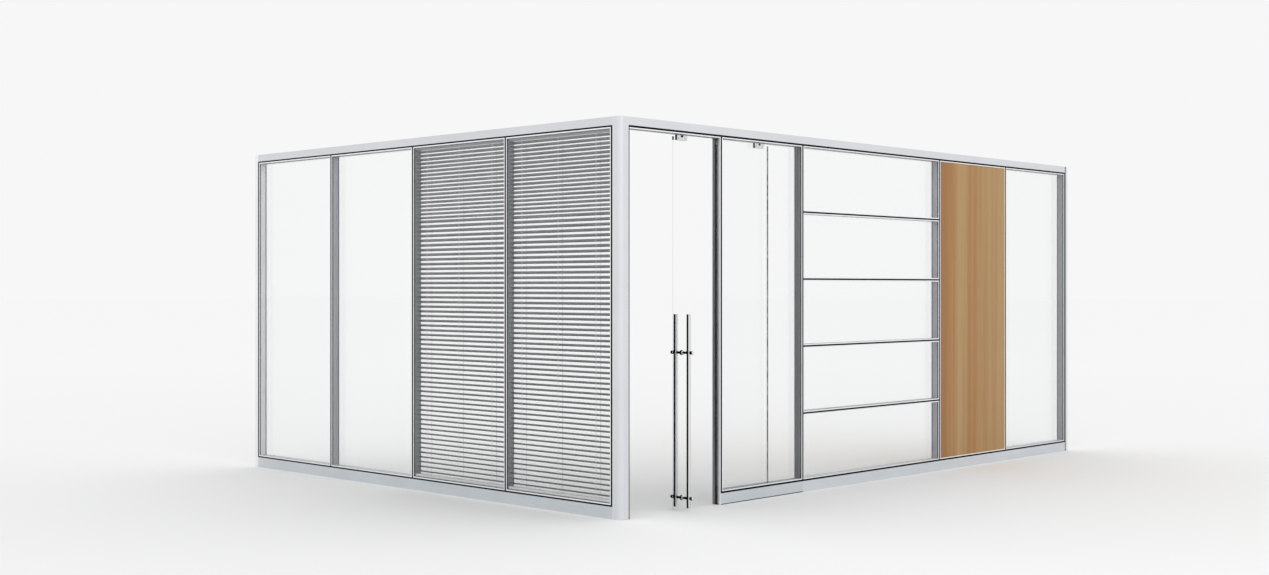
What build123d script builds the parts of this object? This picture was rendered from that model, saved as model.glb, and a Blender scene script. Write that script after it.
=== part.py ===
from build123d import *
import os
from math import cos, radians, sin

# Interior glass partition: an L-shaped double-glazed office wall with one
# sliding glass door. All sizes are in millimetres.
#
# The origin is on the floor where the middle planes of the two wings cross,
# inside the corner post. X runs along the right wing, Y along the left wing
# and Z up. The outer faces are the ones at low X and low Y.

os.makedirs("parts", exist_ok=True)

# Wall
wall_height = 3000.0
wall_depth = 80.0
head_rail_height = 66.0
floor_rail_height = 94.0
profile_wall = 3.0          # wall of every hollow aluminium section
splice_gap = 0.3            # hairline between two lengths of rail

# Pane frames, the slim light strips round every pane
strip_width = 12.0
strip_thick = 3.0
frame_leg = 3.0
mitre_gap = 0.3
joint_width = 9.0           # dark shadow joint between frames and rails
joint_recess = 0.5          # how far the joint's rubber lies behind the face
glass_thick = 6.0
glass_clear = 1.5           # room between a pane's edge and its frame
gasket_thick = 4.0

# Corner post and end posts
corner_post_face = 88.0
corner_round = 44.0
foot_plate_thick = 5.0
foot_plate_fit = 0.3
left_end_face = 52.0
right_end_face = 72.0

# Bays, measured from joint to joint
left_bay = 1197.0
left_bays = 4
door_bay = 1052.0
pocket_bay = 1053.0
wide_bay = 2097.0
wide_panes = 5
panel_bay = 1199.0
end_bay = 1198.0

# Channels down the side faces of the mullions
channel_width = 26.0
channel_depth = 2.0
pocket_channel_depth = 8.0

# Slot for the door in the pocket post, the pocket's rail and the pocket itself
slot_width = 28.0
foot_groove_height = 4.0
foot_groove_level = 6.0
foot_groove_depth = 1.5

# Door leaf
leaf_width = 1160.0
leaf_thick = 10.0
leaf_floor_gap = 10.0
leaf_top_gap = 22.0         # from the top edge of the glass to the soffit
leaf_start = 577.0          # leading edge, half open as built
leaf_hole_fit = 0.2

# Door track in the head of the door bay and the pocket
track_slot = 24.0
track_lip = 5.0

# Door hangers
hanger_inset_lead = 36.0    # from the leaf's leading edge
hanger_inset_trail = 59.0   # from the leaf's trailing edge
hanger_length = 120.0
hanger_thick = 18.0
hanger_bite = 24.0          # how far the clamp reaches down the glass
hanger_soffit_gap = 6.0
hanger_stem_radius = 5.0
carriage_length = 60.0
carriage_width = 18.0
carriage_height = 16.0
wheel_radius = 16.0
wheel_width = 6.0
wheel_rail_gap = 0.3
wheel_side_gap = 5.0        # between a wheel and the side of the track
axle_radius = 3.0
axle_fit = 0.1

# Pull handles, one long bar each side of the leaf
handle_inset = 108.0        # from the leaf's leading edge to the bars' axes
handle_radius = 17.0
handle_reach = 68.5         # from the leaf's middle plane to a bar's axis
handle_foot = 20.0
handle_top = 1519.0
handle_edge = 2.0
fixing_low = 95.0
fixing_high = 1221.0
fixing_radius = 11.0
fixing_fit = 0.2
rosette_radius = 20.0
rosette_thick = 8.0
cap_radius = 14.0
cap_length = 30.0
cap_edge = 3.0

# Floor guide in the mouth of the pocket
guide_height = 40.0
guide_base = 4.0
guide_gap = 5.0

# Veneered panels
board_thick = 9.0

# Blinds between the panes of the two bays next to the corner
blind_bays = 2
slat_width = 50.0
slat_thick = 1.0
slat_crown = 2.5
slat_tilt = 25.0
slat_end_gap = 4.0
slat_pitch = 40.0
slat_pitch_top = 33.0
slat_zone_top = 2287.0      # above this the slats hang closer together
first_slat = 24.0           # from the bottom rail's top to the lowest slat
last_slat = 14.0            # least room between the top slat and the head box
blind_rail_depth = 50.0
blind_rail_height = 18.0
blind_rail_gap = 6.0
head_box_height = 18.0
ladder_inset = 160.0
ladder_width = 3.0
ladder_thick = 1.2
ladder_fit = 0.3

# Depths from the wall's middle plane
face = wall_depth / 2
glass_front = face - strip_thick
glass_back = glass_front - glass_thick
core = glass_back - gasket_thick
slot = slot_width / 2

# Levels
head_underside = wall_height - head_rail_height
frame_bottom = floor_rail_height + joint_width
frame_top = head_underside - joint_width
core_bottom = frame_bottom + strip_width
core_top = frame_top - strip_width
joint_bottom = floor_rail_height + joint_width / 2
joint_top = head_underside - joint_width / 2

# Places along the wings, as the middles of the vertical joints
mullion_width = joint_width + 2 * strip_width
corner_face = corner_post_face - face
first_joint = corner_face + joint_width / 2
left_joints = [first_joint + left_bay * n for n in range(left_bays + 1)]
pocket_joint = first_joint + door_bay
wide_joint = pocket_joint + pocket_bay
panel_joint = wide_joint + wide_bay
glass_joint = panel_joint + panel_bay
right_joints = [pocket_joint, wide_joint, panel_joint, glass_joint, glass_joint + end_bay]
left_end = left_joints[-1] + joint_width / 2
right_end = right_joints[-1] + joint_width / 2

# Each wing's own frame: X along the wing, Z up, origin at the corner
right_wing = Plane.XY
left_wing = Plane(origin=(0, 0, 0), x_dir=(0, 1, 0), z_dir=(0, 0, 1))


def cross_plane(wing, along):
    """Plane square to a wing, with X across the wall and Y up."""
    return Plane(origin=wing.from_local_coords((along, 0, 0)), x_dir=wing.y_dir, z_dir=wing.x_dir)


def face_plane(wing, across):
    """Plane in the wall's own plane, with X along the wing and Y up."""
    return Plane(origin=wing.from_local_coords((0, across, 0)), x_dir=wing.x_dir, z_dir=-wing.y_dir)


def rectangle_between(low, high, mode=Mode.ADD):
    """Rectangle from its low corner to its high corner."""
    with Locations(((low[0] + high[0]) / 2, (low[1] + high[1]) / 2)):
        Rectangle(high[0] - low[0], high[1] - low[1], mode=mode)


def save(part, label):
    """Label a finished piece and write it to its own file."""
    part.label = label
    export_step(part, f"parts/{label}.step")


def depth_pair(near, far):
    """The same range of depths on both sides of the wall's middle plane."""
    return [(-far, -near), (near, far)]


# Posts

with BuildSketch() as corner_outline:
    rectangle_between((-face, -face), (corner_face, face))
    rectangle_between((-face, -face), (face, corner_face))
    outer_corner = corner_outline.vertices().sort_by_distance((-face, -face))[0]
    fillet(outer_corner, radius=corner_round)

with BuildPart() as corner_post:
    with BuildSketch():
        add(corner_outline.sketch)
        offset(amount=-profile_wall, mode=Mode.SUBTRACT)
    extrude(amount=wall_height)
    with BuildSketch(left_wing.offset(core_bottom)):
        rectangle_between((corner_face, -core), (first_joint + mullion_width / 2, core))
    extrude(amount=core_top - core_bottom)
save(corner_post.part, "corner_post")

with BuildPart() as corner_foot_plate:
    with BuildSketch():
        add(corner_outline.sketch)
        offset(amount=-profile_wall - foot_plate_fit, mode=Mode.REPLACE)
    extrude(amount=foot_plate_thick)
save(corner_foot_plate.part, "corner_foot_plate")


def end_post(wing, joint, face_width):
    """Hollow post at a wing's free end, with the half mullion between the panes."""
    start = joint + joint_width / 2
    with BuildPart() as post:
        with BuildSketch(wing):
            rectangle_between((start, -face), (start + face_width, face))
            offset(amount=-profile_wall, mode=Mode.SUBTRACT)
        extrude(amount=wall_height)
        with BuildSketch(wing.offset(core_bottom)):
            rectangle_between((joint - mullion_width / 2, -core), (start, core))
        extrude(amount=core_top - core_bottom)
    return post.part


save(end_post(left_wing, left_joints[-1], left_end_face), "left_end_post")
save(end_post(right_wing, right_joints[-1], right_end_face), "right_end_post")


# Head and floor rails: a full-depth box with a narrower neck between the panes

def rail_section(box, neck):
    """Outline of a rail from the levels of its box and of its neck."""
    rectangle_between((-face, box[0]), (face, box[1]))
    rectangle_between((-core, neck[0]), (core, neck[1]))


def hollow_rail(wing, start, end, box, neck):
    """Hollow rail between two places along a wing."""
    wall = profile_wall
    with BuildPart() as rail:
        with BuildSketch(cross_plane(wing, start)):
            rail_section(box, neck)
            rectangle_between((wall - face, box[0] + wall), (face - wall, box[1] - wall), Mode.SUBTRACT)
            neck_low = min(neck[0] + wall, box[1] - wall)
            neck_high = max(neck[1] - wall, box[0] + wall)
            rectangle_between((wall - core, neck_low), (core - wall, neck_high), Mode.SUBTRACT)
        extrude(amount=end - start)
    return rail.part


head_box = (head_underside, wall_height)
head_neck = (core_top, head_underside)
floor_box = (0, floor_rail_height)
floor_neck = (floor_rail_height, core_bottom)
rail_splice = wide_joint + splice_gap / 2

save(hollow_rail(left_wing, corner_face, left_end, head_box, head_neck), "left_head_rail")
save(hollow_rail(left_wing, corner_face, left_end, floor_box, floor_neck), "left_floor_rail")
save(hollow_rail(right_wing, rail_splice, right_end, head_box, head_neck), "right_head_rail")
save(hollow_rail(right_wing, rail_splice, right_end, floor_box, floor_neck), "right_floor_rail")

# The head over the door and the pocket holds the track: the door's wheels
# run on two lips each side of a slot in the soffit.

with BuildPart() as door_head_rail:
    with BuildSketch(cross_plane(right_wing, corner_face)):
        rail_section(head_box, head_neck)
        rectangle_between(
            (profile_wall - face, head_underside + profile_wall),
            (face - profile_wall, wall_height - profile_wall),
            Mode.SUBTRACT,
        )
        rectangle_between(
            (profile_wall - core, core_top + track_lip),
            (core - profile_wall, head_underside + profile_wall),
            Mode.SUBTRACT,
        )
        rectangle_between((-track_slot / 2, core_top), (track_slot / 2, core_top + track_lip), Mode.SUBTRACT)
    extrude(amount=rail_splice - splice_gap - corner_face)
save(door_head_rail.part, "door_head_rail")

# The pocket's floor rail is open along its middle, so that the leaf slides in.

pocket_start = pocket_joint - joint_width / 2
with BuildPart() as pocket_floor_rail:
    with BuildSketch(cross_plane(right_wing, pocket_start)):
        rail_section(floor_box, floor_neck)
        rectangle_between((-slot, profile_wall), (slot, core_bottom), Mode.SUBTRACT)
        for side in (-1, 1):
            with Locations((side * (slot + face) / 2, floor_rail_height / 2)):
                Rectangle(
                    face - slot - 2 * profile_wall,
                    floor_rail_height - 2 * profile_wall,
                    mode=Mode.SUBTRACT,
                )
            with Locations((side * (face - foot_groove_depth / 2), foot_groove_level)):
                Rectangle(foot_groove_depth, foot_groove_height, mode=Mode.SUBTRACT)
    extrude(amount=rail_splice - splice_gap - pocket_start)
save(pocket_floor_rail.part, "pocket_floor_rail")


# Mullions stand between the panes, from the floor rail's neck to the head's

def mullion(wing, joint, low_channel=channel_depth):
    """Hollow mullion with a channel down each side face."""
    half = mullion_width / 2
    with BuildPart() as post:
        with BuildSketch(wing.offset(core_bottom)):
            rectangle_between((joint - half, -core), (joint + half, core))
            for side, depth in ((-1, low_channel), (1, channel_depth)):
                with Locations((joint + side * (half - depth / 2), 0)):
                    Rectangle(depth, channel_width, mode=Mode.SUBTRACT)
            rectangle_between(
                (joint - half + low_channel + profile_wall, profile_wall - core),
                (joint + half - channel_depth - profile_wall, core - profile_wall),
                Mode.SUBTRACT,
            )
        extrude(amount=core_top - core_bottom)
    return post.part


for number, joint in enumerate(left_joints[1:-1], start=1):
    save(mullion(left_wing, joint), f"left_mullion_{number}")

save(mullion(right_wing, wide_joint, pocket_channel_depth), "wide_mullion")
save(mullion(right_wing, panel_joint), "panel_mullion")
save(mullion(right_wing, glass_joint), "glass_mullion")

# The pocket post is split down its middle for the leaf. Its front half stands
# on the floor and its back half between the pocket's panes.

for name, side in (("pocket_post_outer", -1), ("pocket_post_inner", 1)):
    with BuildPart() as pocket_post:
        with BuildSketch(right_wing):
            with Locations((pocket_start - strip_width / 2, side * (slot + face) / 2)):
                Rectangle(strip_width, face - slot)
        extrude(amount=core_top)
        with BuildSketch(right_wing.offset(core_bottom)):
            with Locations((pocket_joint + strip_width / 2, side * (slot + core) / 2)):
                Rectangle(joint_width + strip_width, core - slot)
        extrude(amount=core_top - core_bottom)
    save(pocket_post.part, name)


# Pane frames: four mitred angles round each pane, on both faces of the wall

def mitred_ring(low, high, bar):
    """Ring of four bars with a hairline at each mitre."""
    rectangle_between(low, high)
    rectangle_between((low[0] + bar, low[1] + bar), (high[0] - bar, high[1] - bar), Mode.SUBTRACT)
    for left in (True, False):
        for bottom in (True, False):
            across = low[0] + bar / 2 if left else high[0] - bar / 2
            up = low[1] + bar / 2 if bottom else high[1] - bar / 2
            with Locations((across, up)):
                Rectangle(2 * bar, mitre_gap, rotation=45 if left == bottom else -45, mode=Mode.SUBTRACT)


def pane_frames(wing, panes):
    """Angle frame of each pane, outer and inner."""
    with BuildPart() as frames:
        for near, far in depth_pair(glass_front, face):
            with BuildSketch(face_plane(wing, far)):
                for pane in panes:
                    mitred_ring(*pane, strip_width)
            extrude(amount=far - near)
        for near, far in depth_pair(core, glass_front):
            with BuildSketch(face_plane(wing, far)):
                for pane in panes:
                    mitred_ring(*pane, frame_leg)
            extrude(amount=far - near)
    return frames.part


def inset(pane, margin):
    """Low and high corners of a pane moved in by a margin."""
    low, high = pane
    return (low[0] + margin, low[1] + margin), (high[0] - margin, high[1] - margin)


def pane_sheets(wing, panes, thick):
    """Two sheets behind the strips of each pane's frames, outer and inner."""
    with BuildPart() as sheets:
        for near, far in depth_pair(glass_front - thick, glass_front):
            with BuildSketch(face_plane(wing, far)):
                for pane in panes:
                    rectangle_between(*inset(pane, frame_leg + glass_clear))
            extrude(amount=far - near)
    return sheets.part


def bay(joint, next_joint):
    """Low and high corners of the pane between two vertical joints."""
    half = joint_width / 2
    return (joint + half, frame_bottom), (next_joint - half, frame_top)


left_panes = [bay(a, b) for a, b in zip(left_joints, left_joints[1:])]
right_panes = [bay(a, b) for a, b in zip(right_joints, right_joints[1:])]
pocket_pane, wide_opening, panel_pane, end_pane = right_panes

for number, pane in enumerate(left_panes, start=1):
    save(pane_frames(left_wing, [pane]), f"left_frame_{number}")
    save(pane_sheets(left_wing, [pane], glass_thick), f"left_glass_{number}")

save(pane_frames(right_wing, [pocket_pane]), "pocket_frame")
save(pane_sheets(right_wing, [pocket_pane], glass_thick), "pocket_glass")
save(pane_frames(right_wing, [panel_pane]), "panel_frame")
save(pane_sheets(right_wing, [panel_pane], board_thick), "veneer_panels")
save(pane_frames(right_wing, [end_pane]), "end_frame")
save(pane_sheets(right_wing, [end_pane], glass_thick), "end_glass")

# The wide bay: stacked panes of equal height, with a transom at each bar

bar_pitch = (joint_top - joint_bottom) / wide_panes
bar_levels = [joint_bottom + bar_pitch * n for n in range(wide_panes + 1)]
wide_stack = [
    ((wide_opening[0][0], low + joint_width / 2), (wide_opening[1][0], high - joint_width / 2))
    for low, high in zip(bar_levels, bar_levels[1:])
]

save(pane_frames(right_wing, wide_stack), "wide_frames")
save(pane_sheets(right_wing, wide_stack, glass_thick), "wide_glass")

transom_start = wide_joint + mullion_width / 2
transom_end = panel_joint - mullion_width / 2
with BuildPart() as wide_transoms:
    with BuildSketch(cross_plane(right_wing, transom_start)):
        with Locations(*[(0, level) for level in bar_levels[1:-1]]):
            Rectangle(2 * core, mullion_width)
            Rectangle(2 * (core - profile_wall), mullion_width - 2 * profile_wall, mode=Mode.SUBTRACT)
    extrude(amount=transom_end - transom_start)
save(wide_transoms.part, "wide_transoms")


# Rubber in the shadow joints and between the glass and the mullions

def rubber(wing, uprights, levels, panes):
    """Joint strips and glazing gaskets of one wing, outer and inner."""
    half = joint_width / 2
    with BuildPart() as strips:
        for near, far in depth_pair(core, face - joint_recess):
            with BuildSketch(face_plane(wing, far)):
                for joint, foot in uprights:
                    rectangle_between((joint - half, foot), (joint + half, head_underside))
                for start, end, level in levels:
                    rectangle_between((start, level - half), (end, level + half))
            extrude(amount=far - near)
        for near, far in depth_pair(core, glass_back):
            with BuildSketch(face_plane(wing, far)):
                for pane in panes:
                    rectangle_between(*inset(pane, frame_leg))
                    rectangle_between(*inset(pane, strip_width), Mode.SUBTRACT)
            extrude(amount=far - near)
    return strips.part


# The one beside the door is the jamb's seal, so it stands on the floor.

left_uprights = [(joint, floor_rail_height) for joint in left_joints]
right_uprights = [(first_joint, 0)] + [(joint, floor_rail_height) for joint in right_joints]
left_levels = [(left_joints[0], left_joints[-1], level) for level in (joint_bottom, joint_top)]
right_levels = [
    (corner_face, right_joints[-1], joint_top),
    (pocket_joint, right_joints[-1], joint_bottom),
]
right_levels += [(wide_joint, panel_joint, level) for level in bar_levels[1:-1]]

save(rubber(left_wing, left_uprights, left_levels, left_panes), "left_rubber")
save(
    rubber(right_wing, right_uprights, right_levels, [pocket_pane, end_pane, *wide_stack]),
    "right_rubber",
)

# Trim over the doorway, in line with the pane frames beside it

trim_start = first_joint + joint_width / 2
trim_end = pocket_joint - joint_width / 2
with BuildPart() as door_head_trim:
    for side in (-1, 1):
        with BuildSketch(cross_plane(right_wing, trim_start)):
            with Locations((side * (glass_front + face) / 2, (core_top + frame_top) / 2)):
                Rectangle(strip_thick, strip_width)
            with Locations((side * (core + glass_front) / 2, frame_top - frame_leg / 2)):
                Rectangle(glass_front - core, frame_leg)
        extrude(amount=trim_end - trim_start)
save(door_head_trim.part, "door_head_trim")

# Blinds: a head box, curved slats on ladder cords, and a bottom rail

tilt_cos = cos(radians(slat_tilt))
tilt_sin = sin(radians(slat_tilt))
rail_base = core_bottom + blind_rail_gap
rail_top = rail_base + blind_rail_height
box_base = core_top - head_box_height
ladder_depth = (slat_width / 2) * tilt_cos + slat_thick * tilt_sin + ladder_fit + ladder_thick / 2
blind_spans = [
    (start + mullion_width / 2 + slat_end_gap, end - mullion_width / 2 - slat_end_gap)
    for start, end in zip(left_joints[:blind_bays], left_joints[1:])
]
ladder_stations = [
    at
    for start, end in blind_spans
    for at in (start + ladder_inset, (start + end) / 2, end - ladder_inset)
]


def slat_levels():
    """Levels of the slats: one pitch up to the top zone, a closer one above it."""
    levels = [rail_top + first_slat]
    while levels[-1] + slat_pitch_top < box_base - last_slat:
        pitch = slat_pitch if levels[-1] + slat_pitch < slat_zone_top else slat_pitch_top
        levels.append(levels[-1] + pitch)
    return levels


crown_points = [
    (-slat_width / 2, 0),
    (-slat_width / 6, slat_crown),
    (slat_width / 6, slat_crown),
    (slat_width / 2, 0),
]
with BuildSketch() as slat_profile:
    with BuildLine():
        Polyline(*crown_points, *[(x, y + slat_thick) for x, y in reversed(crown_points)], close=True)
    make_face()

for number, (start, end) in enumerate(blind_spans, start=1):
    with BuildPart() as blind_slats:
        with BuildSketch(cross_plane(left_wing, start)):
            with Locations(*[(0, level) for level in slat_levels()]):
                add(slat_profile.sketch, rotation=slat_tilt)
        extrude(amount=end - start)
    save(blind_slats.part, f"blind_{number}_slats")

with BuildPart() as blind_rails:
    for start, end in blind_spans:
        with BuildSketch(cross_plane(left_wing, start)):
            rectangle_between((-blind_rail_depth / 2, box_base), (blind_rail_depth / 2, core_top))
            rectangle_between((-blind_rail_depth / 2, rail_base), (blind_rail_depth / 2, rail_top))
        extrude(amount=end - start)
save(blind_rails.part, "blind_rails")

with BuildPart() as blind_ladders:
    with BuildSketch(left_wing.offset(rail_top)):
        with Locations(*[(at, side * ladder_depth) for at in ladder_stations for side in (-1, 1)]):
            Rectangle(ladder_width, ladder_thick)
    extrude(amount=box_base - rail_top)
save(blind_ladders.part, "blind_ladders")

# Door leaf: one sheet of glass, holed for the handles' fixings

leaf_top = core_top - leaf_top_gap
leaf_end = leaf_start + leaf_width
handle_axis = leaf_start + handle_inset
fixing_levels = [fixing_low, fixing_high]

with BuildPart() as door_glass:
    with BuildSketch(face_plane(right_wing, leaf_thick / 2)):
        rectangle_between((leaf_start, leaf_floor_gap), (leaf_end, leaf_top))
        with Locations(*[(handle_axis, level) for level in fixing_levels]):
            Circle(fixing_radius + leaf_hole_fit, mode=Mode.SUBTRACT)
    extrude(amount=leaf_thick)
save(door_glass.part, "door_glass")

# Hangers: a clamp on the glass, a stem up through the slot, and a carriage
# with a wheel each side

clamp_base = leaf_top - hanger_bite
hanger_top = core_top - hanger_soffit_gap
wheel_level = core_top + track_lip + wheel_rail_gap + wheel_radius
wheel_near = core - profile_wall - wheel_side_gap - wheel_width
hanger_middles = {
    "door_hanger_lead": leaf_start + hanger_inset_lead + hanger_length / 2,
    "door_hanger_trail": leaf_end - hanger_inset_trail - hanger_length / 2,
}

for name, middle in hanger_middles.items():
    with BuildPart() as hanger:
        with BuildSketch(cross_plane(right_wing, middle - hanger_length / 2)):
            rectangle_between((-hanger_thick / 2, clamp_base), (hanger_thick / 2, hanger_top))
            rectangle_between((-leaf_thick / 2, clamp_base), (leaf_thick / 2, leaf_top), Mode.SUBTRACT)
        extrude(amount=hanger_length)
        with BuildSketch(right_wing.offset(hanger_top)):
            with Locations((middle, 0)):
                Circle(hanger_stem_radius)
        extrude(amount=wheel_level - hanger_top)
        with BuildSketch(right_wing.offset(wheel_level - carriage_height / 2)):
            with Locations((middle, 0)):
                Rectangle(carriage_length, carriage_width)
        extrude(amount=carriage_height)
        with BuildSketch(face_plane(right_wing, wheel_near + wheel_width)):
            with Locations((middle, wheel_level)):
                Circle(axle_radius)
        extrude(amount=2 * (wheel_near + wheel_width))
        for near, far in depth_pair(wheel_near, wheel_near + wheel_width):
            with BuildSketch(face_plane(right_wing, far)):
                with Locations((middle, wheel_level)):
                    Circle(wheel_radius)
                    Circle(axle_radius + axle_fit, mode=Mode.SUBTRACT)
            extrude(amount=far - near)
    save(hanger.part, name)

# Pull handles: a long tube each side of the glass, with two through fixings

with BuildPart() as handle_bars:
    with BuildSketch(right_wing.offset(handle_foot)):
        with Locations(*[(handle_axis, side * handle_reach) for side in (-1, 1)]):
            Circle(handle_radius)
    extrude(amount=handle_top - handle_foot)
    ends = handle_bars.faces().filter_by(Axis.Z)
    chamfer(ends.edges(), length=handle_edge)
    with BuildSketch(face_plane(right_wing, handle_reach + handle_radius)):
        with Locations(*[(handle_axis, level) for level in fixing_levels]):
            Circle(fixing_radius + fixing_fit)
    extrude(amount=2 * (handle_reach + handle_radius), mode=Mode.SUBTRACT)
save(handle_bars.part, "handle_bars")

cap_end = handle_reach + handle_radius + cap_length
with BuildPart() as handle_fixings:
    for level in fixing_levels:
        with BuildSketch(face_plane(right_wing, handle_reach + handle_radius)):
            with Locations((handle_axis, level)):
                Circle(fixing_radius)
        extrude(amount=2 * (handle_reach + handle_radius))
        for near, far in depth_pair(leaf_thick / 2, leaf_thick / 2 + rosette_thick):
            with BuildSketch(face_plane(right_wing, far)):
                with Locations((handle_axis, level)):
                    Circle(rosette_radius)
            extrude(amount=far - near)
        for near, far in depth_pair(handle_reach + handle_radius, cap_end):
            with BuildSketch(face_plane(right_wing, far)):
                with Locations((handle_axis, level)):
                    Circle(cap_radius)
            extrude(amount=far - near)
    tips = handle_fixings.faces().filter_by(Axis.Y).sort_by(Axis.Y)
    chamfer((tips[0:2] + tips[-2:]).edges(), length=cap_edge)
save(handle_fixings.part, "handle_fixings")

# Floor guide: a channel between the halves of the pocket post

guide_inside = leaf_thick / 2 + guide_gap
with BuildPart() as floor_guide:
    with BuildSketch(cross_plane(right_wing, pocket_start - strip_width)):
        rectangle_between((-slot, 0), (slot, guide_height))
        rectangle_between((-guide_inside, guide_base), (guide_inside, guide_height), Mode.SUBTRACT)
    extrude(amount=strip_width)
save(floor_guide.part, "floor_guide")
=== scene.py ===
# %% [markdown]
# # An interior glass partition
# An office wall in two wings: double-glazed bays, blinds between the panes of two of them, a wood
# panel, a bay of stacked panes, and a glass door that slides into the wall beside it.
# Its frame comes in at its real size and stays as it is. This script gives it finishes, models
# the small parts that a camera sees close up, and sets a pale studio round it. Metres, Z up.

# %% Load the frame
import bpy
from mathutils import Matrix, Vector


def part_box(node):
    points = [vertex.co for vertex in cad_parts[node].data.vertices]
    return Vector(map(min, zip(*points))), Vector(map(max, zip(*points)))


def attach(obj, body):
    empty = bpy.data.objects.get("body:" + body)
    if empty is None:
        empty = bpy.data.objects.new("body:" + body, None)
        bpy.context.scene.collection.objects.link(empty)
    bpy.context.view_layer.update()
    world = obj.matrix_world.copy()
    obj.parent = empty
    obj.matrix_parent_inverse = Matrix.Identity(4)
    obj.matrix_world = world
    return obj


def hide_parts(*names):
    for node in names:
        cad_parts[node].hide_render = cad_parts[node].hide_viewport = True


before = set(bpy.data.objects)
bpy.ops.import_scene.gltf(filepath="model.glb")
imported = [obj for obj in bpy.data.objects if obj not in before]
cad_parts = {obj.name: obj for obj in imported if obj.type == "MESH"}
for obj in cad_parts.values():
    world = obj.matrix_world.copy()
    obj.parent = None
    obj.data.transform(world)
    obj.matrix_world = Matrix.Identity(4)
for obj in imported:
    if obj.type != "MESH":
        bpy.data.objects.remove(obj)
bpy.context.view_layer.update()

# %% [markdown]
# ## Camera
# The picture is taken level, from eye height, looking at the corner post with both wings running away.
# A level camera keeps every post upright, so only its place and its turn about Z are set. Both follow
# from the two points where the rails of the wings would meet, far off to the left and to the right.

# %% Camera
from math import atan2, pi, radians

import bpy
from mathutils import Vector

eye = Vector((-8.1025, -7.9584, 1.731))
view_direction = Vector((0.7199, 0.6941, 0.0))
camera_data = bpy.data.cameras.new("camera")
camera_data.lens = 43.3
camera_data.sensor_width = 36
camera_data.shift_y = -0.0005
camera = bpy.data.objects.new("camera", camera_data)
camera.location = eye
camera.rotation_euler = (pi / 2, 0, atan2(-view_direction.x, view_direction.y))
bpy.context.scene.collection.objects.link(camera)
bpy.context.scene.camera = camera
print("camera", tuple(round(n, 3) for n in eye))

# %% [markdown]
# ## A language for finishes
# A material is a graph of nodes. Building graphs call by call hides the idea, so one class, Wire, stands
# for a node's output and takes part in sums: `0.3 + 0.1 * grain` adds its own Math nodes.

# %% Wires
class Wire:
    """One output of a node. Sums of wires and numbers add Math nodes."""

    def __init__(self, finish, socket):
        self.finish = finish
        self.socket = socket

    def math(self, operation, first, second):
        return self.finish.node("ShaderNodeMath", {"operation": operation}, {0: first, 1: second})

    def __add__(self, other):
        return self.math("ADD", self, other)

    def __sub__(self, other):
        return self.math("SUBTRACT", self, other)

    def __rsub__(self, other):
        return self.math("SUBTRACT", other, self)

    def __mul__(self, other):
        return self.math("MULTIPLY", self, other)

    def __pow__(self, other):
        return self.math("POWER", self, other)

    __radd__ = __add__
    __rmul__ = __mul__


print("wires ready")

# %% [markdown]
# ## Finishes
# Finish owns a material's graph, and its method `node` adds any kind of node. The other methods name what
# the finishes below are made of: a place, a noise, a range, a mix, a direction and a relief. A tone is
# given as it looks on a screen.

# %% Finishes
class Finish:
    """A material and the graph of its nodes."""

    def __init__(self, name):
        self.material = bpy.data.materials.new(name)
        self.material.use_nodes = True
        self.tree = self.material.node_tree
        self.tree.nodes.clear()

    def node(self, kind, settings=None, values=None, out=0):
        """Adds a node: its settings first, then the values or wires of its inputs."""
        made = self.tree.nodes.new(kind)
        for name, value in (settings or {}).items():
            if name == "stops":
                for place, _ in value[1:-1]:
                    made.color_ramp.elements.new(place)
                for stop, (place, colour) in zip(made.color_ramp.elements, value):
                    stop.position = place
                    stop.color = (*colour, 1)
            else:
                setattr(made, name, value)
        for name, value in (values or {}).items():
            if isinstance(value, Wire):
                self.tree.links.new(value.socket, made.inputs[name])
            else:
                made.inputs[name].default_value = value
        return Wire(self, made.outputs[out])

    def place(self, stretch=(1, 1, 1), shift=(0, 0, 0)):
        """Object coordinates, stretched per axis: a larger number makes a finer pattern that way."""
        corner = self.node("ShaderNodeTexCoord", out="Object")
        return self.node("ShaderNodeMapping", {}, {"Vector": corner, "Scale": stretch, "Location": shift})

    def noise(self, vector, detail=3.0, rough=0.5, bend=0.0):
        """Cloudy pattern from 0 to 1. The vector's stretch sets its size."""
        values = {"Vector": vector, "Scale": 1.0, "Detail": detail, "Roughness": rough, "Distortion": bend}
        return self.node("ShaderNodeTexNoise", {}, values)

    def between(self, wire, low, high):
        """Maps a wire's range from low to high onto 0 to 1, clamped."""
        values = {"Value": wire, "From Min": low, "From Max": high}
        return self.node("ShaderNodeMapRange", {"clamp": True}, values)

    def blend(self, share, first, second):
        """Mixes two colours by a wire."""
        values = {"Factor": share, 6: self.colour(first), 7: self.colour(second)}
        return self.node("ShaderNodeMix", {"data_type": "RGBA"}, values, out=2)

    @staticmethod
    def colour(value):
        """A colour that a socket takes: a wire, or three levels with an alpha of 1."""
        return value if isinstance(value, Wire) else (*value, 1)

    def facing(self, direction):
        """How squarely a face looks along a direction, from minus 1 to 1."""
        looks = self.node("ShaderNodeTexCoord", out="Normal")
        values = {0: looks, 1: direction}
        return self.node("ShaderNodeVectorMath", {"operation": "DOT_PRODUCT"}, values, out="Value")

    def along(self, axis):
        """One Object coordinate."""
        return self.node("ShaderNodeSeparateXYZ", {}, {"Vector": self.place()}, out=axis)

    def bump(self, height, distance):
        """A normal for a relief whose full height is the distance."""
        return self.node("ShaderNodeBump", {}, {"Height": height, "Distance": distance})

    def close(self, **sockets):
        """Ends the graph with one Principled shader. Underlines in names stand for spaces."""
        values = {}
        for name, value in sockets.items():
            values[name.replace("_", " ")] = (*value, 1) if isinstance(value, tuple) else value
        shader = self.node("ShaderNodeBsdfPrincipled", {}, values)
        end = self.tree.nodes.new("ShaderNodeOutputMaterial")
        self.tree.links.new(shader.socket, end.inputs["Surface"])
        return self.material


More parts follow.
